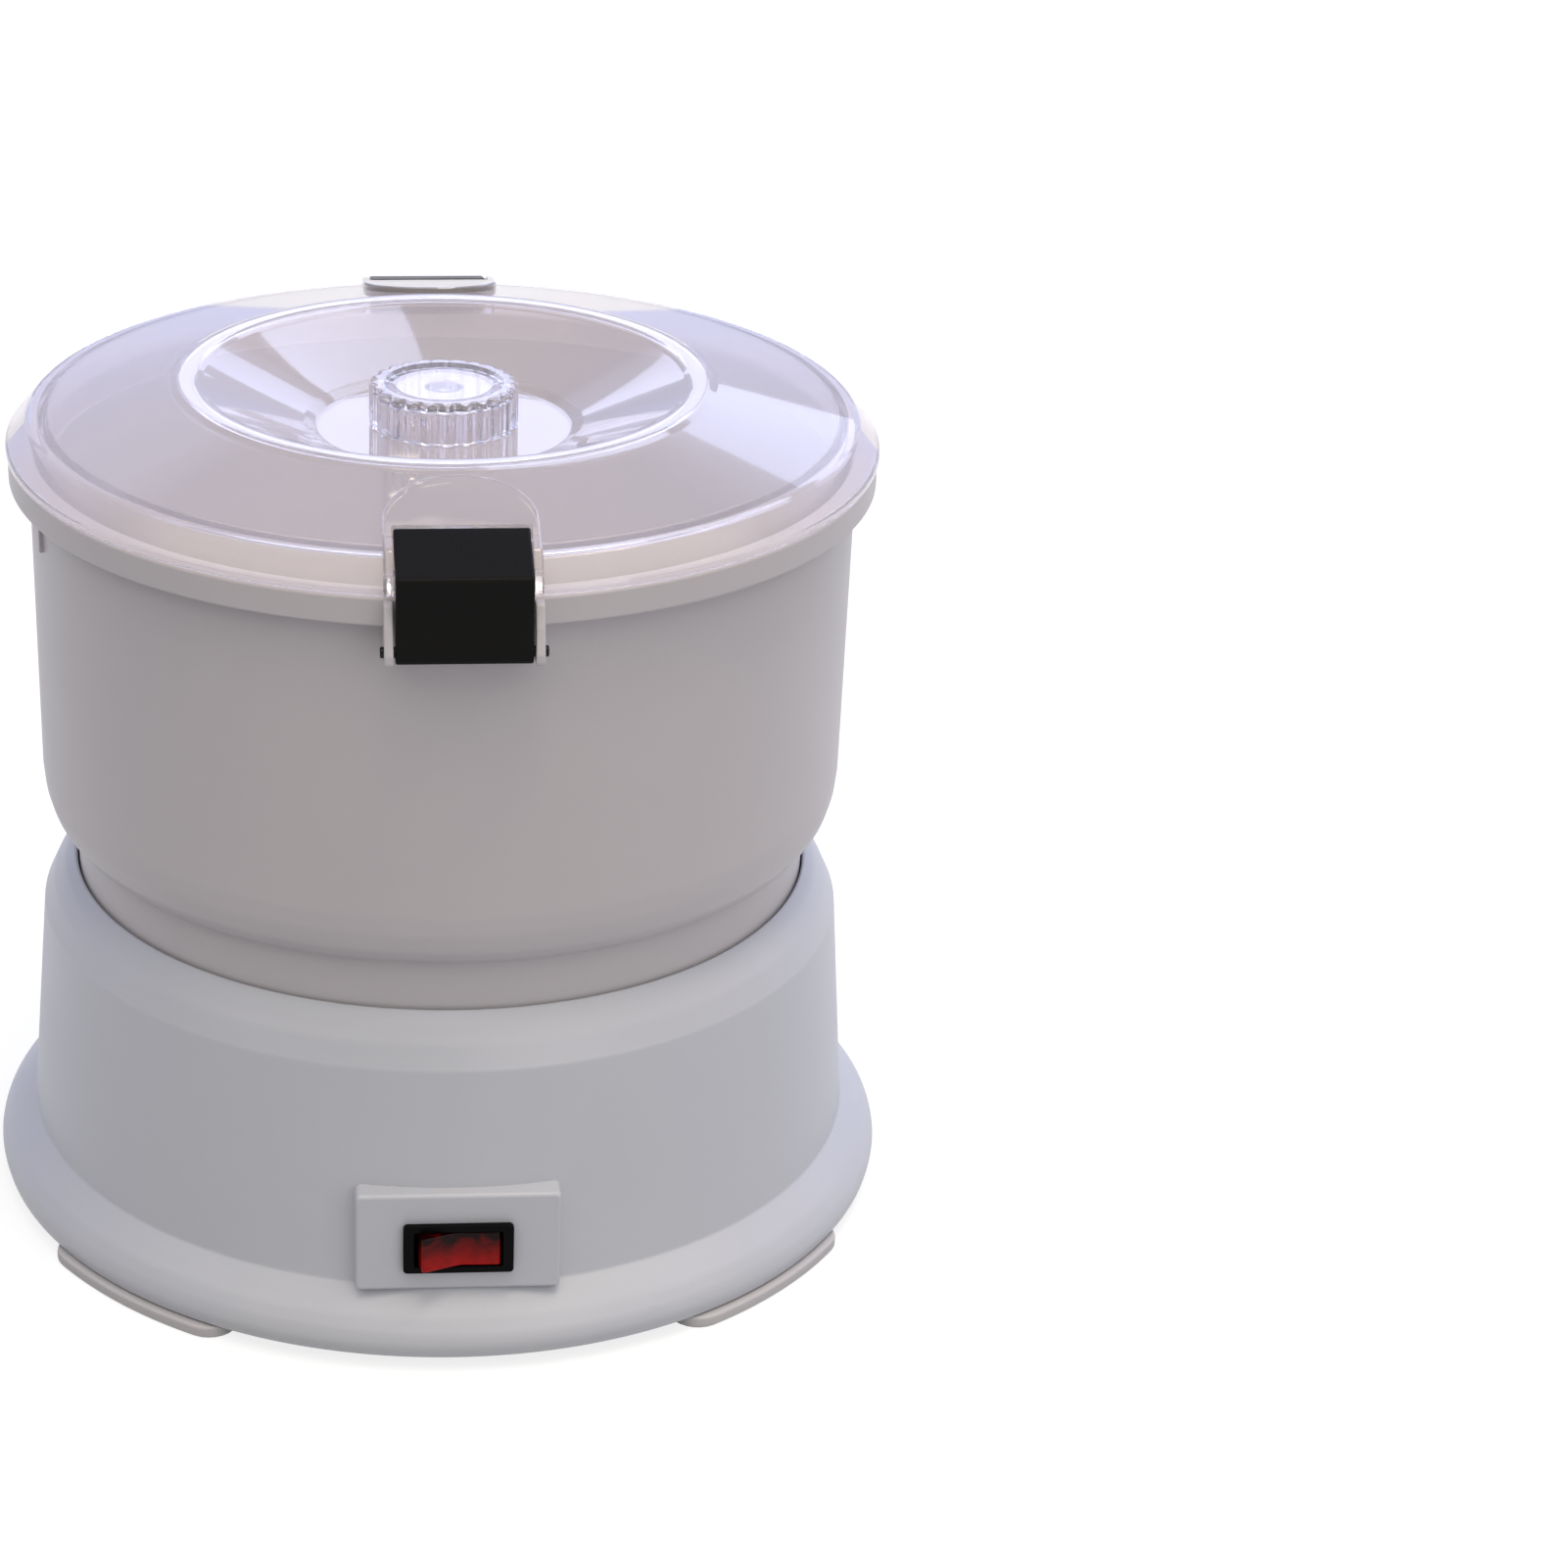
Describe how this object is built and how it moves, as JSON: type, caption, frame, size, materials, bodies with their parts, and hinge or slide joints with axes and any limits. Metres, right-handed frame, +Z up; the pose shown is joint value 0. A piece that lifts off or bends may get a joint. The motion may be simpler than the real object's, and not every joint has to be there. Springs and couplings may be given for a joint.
{
  "type": "electric potato peeler",
  "caption": "Round tabletop peeler: wide base with motor and belt drive, lift-off bowl with abrasive turntable, clear latched lid and a front rocker switch.",
  "frame": {"origin": "on the table, under the middle of the base", "axes": "+Z up along the drive shaft, -Y towards the switch and the front latch, +X to the right as seen from the front"},
  "size_m": [0.271, 0.271, 0.25],
  "materials": {
    "grey_plastic": "smooth moulded",
    "dark_plastic": "fine grain",
    "black_latch": "satin moulded",
    "clear_plastic": "clear moulded",
    "red_lens": "clear red moulded",
    "white_nylon": "moulded",
    "steel": "machined",
    "bronze": "plain",
    "black_rubber": "moulded",
    "grey_rubber": "moulded",
    "copper": "enamelled winding",
    "lamp_glass": "clear",
    "brown_lead": "extruded",
    "blue_lead": "extruded"
  },
  "bodies": {
    "base": {"base_housing": "grey_plastic", "bottom_plate": "dark_plastic", "bottom_screw_1": "steel", "bottom_screw_2": "steel", "bottom_screw_3": "steel", "bottom_screw_4": "steel", "foot_front_left": "grey_rubber", "foot_front_right": "grey_rubber", "foot_rear_left": "grey_rubber", "foot_rear_right": "grey_rubber", "switch_body": "dark_plastic", "indicator_lamp": "lamp_glass", "live_terminal": "bronze", "switched_terminal": "bronze", "bearing_sleeve": "white_nylon", "sleeve_screw_1": "steel", "sleeve_screw_2": "steel", "sleeve_screw_3": "steel", "lower_bearing": "steel", "upper_bearing": "steel", "shaft_seal": "black_rubber", "drive_belt": "black_rubber", "motor_case": "steel", "motor_end_cap": "dark_plastic", "motor_lower_bush": "bronze", "motor_upper_bush": "bronze", "motor_stator": "copper", "motor_bracket": "steel", "motor_screw_1": "steel", "motor_screw_2": "steel", "cord_inlet": "black_rubber", "run_capacitor": "dark_plastic", "terminal_block": "white_nylon", "live_lead": "brown_lead", "neutral_lead": "blue_lead", "switched_lead": "brown_lead"},
    "rocker": {"rocker": "red_lens"},
    "drive_shaft": {"drive_shaft": "steel", "large_pulley": "white_nylon", "pulley_nut": "steel", "retaining_ring": "steel", "drive_head": "steel"},
    "motor_rotor": {"motor_rotor": "steel", "small_pulley": "white_nylon"},
    "bowl": {"bowl": "grey_plastic", "wall_blade_1": "steel", "wall_blade_2": "steel", "wall_blade_3": "steel", "front_latch_pin": "steel", "rear_latch_pin": "steel"},
    "turntable": {"turntable": "grey_plastic", "disc_blade_1": "steel", "disc_blade_2": "steel", "disc_blade_3": "steel"},
    "lid": {"lid": "clear_plastic", "lid_knob": "clear_plastic", "knob_screw": "steel"},
    "front_latch": {"front_latch": "black_latch"},
    "rear_latch": {"rear_latch": "black_latch"}
  },
  "joints": [
    {"name": "bowl_lift", "type": "slide", "parent": "base", "child": "bowl", "axis": [0, 0, 1], "range_m": [0, 0.07]},
    {"name": "lid_lift", "type": "slide", "parent": "bowl", "child": "lid", "axis": [0, 0, 1], "range_m": [0, 0.035]},
    {"name": "front_latch_turn", "type": "hinge", "parent": "bowl", "child": "front_latch", "pos_m": [0, -0.129, 0.2173], "axis": [1, 0, 0], "range_deg": [0, 140]},
    {"name": "rear_latch_turn", "type": "hinge", "parent": "bowl", "child": "rear_latch", "pos_m": [0, 0.129, 0.2173], "axis": [-1, 0, 0], "range_deg": [0, 140]},
    {"name": "turntable_spin", "type": "hinge", "parent": "bowl", "child": "turntable", "pos_m": [0, 0, 0.129], "axis": [0, 0, 1], "continuous": true},
    {"name": "shaft_spin", "type": "hinge", "parent": "base", "child": "drive_shaft", "pos_m": [0, 0, 0.0536], "axis": [0, 0, 1], "continuous": true},
    {"name": "rotor_spin", "type": "hinge", "parent": "base", "child": "motor_rotor", "pos_m": [0.068, 0, 0.0466], "axis": [0, 0, 1], "continuous": true},
    {"name": "rocker_tip", "type": "hinge", "parent": "base", "child": "rocker", "pos_m": [0, -0.1255, 0.0358], "axis": [0, 0, -1], "range_deg": [0, 20]}
  ],
  "couplings": [
    {"joint": "front_latch_turn", "follows": "lid_lift", "rad_per_m": 69.8},
    {"joint": "rear_latch_turn", "follows": "lid_lift", "rad_per_m": 69.8},
    {"joint": "shaft_spin", "follows": "turntable_spin", "ratio": 1},
    {"joint": "rotor_spin", "follows": "turntable_spin", "ratio": 5}
  ]
}
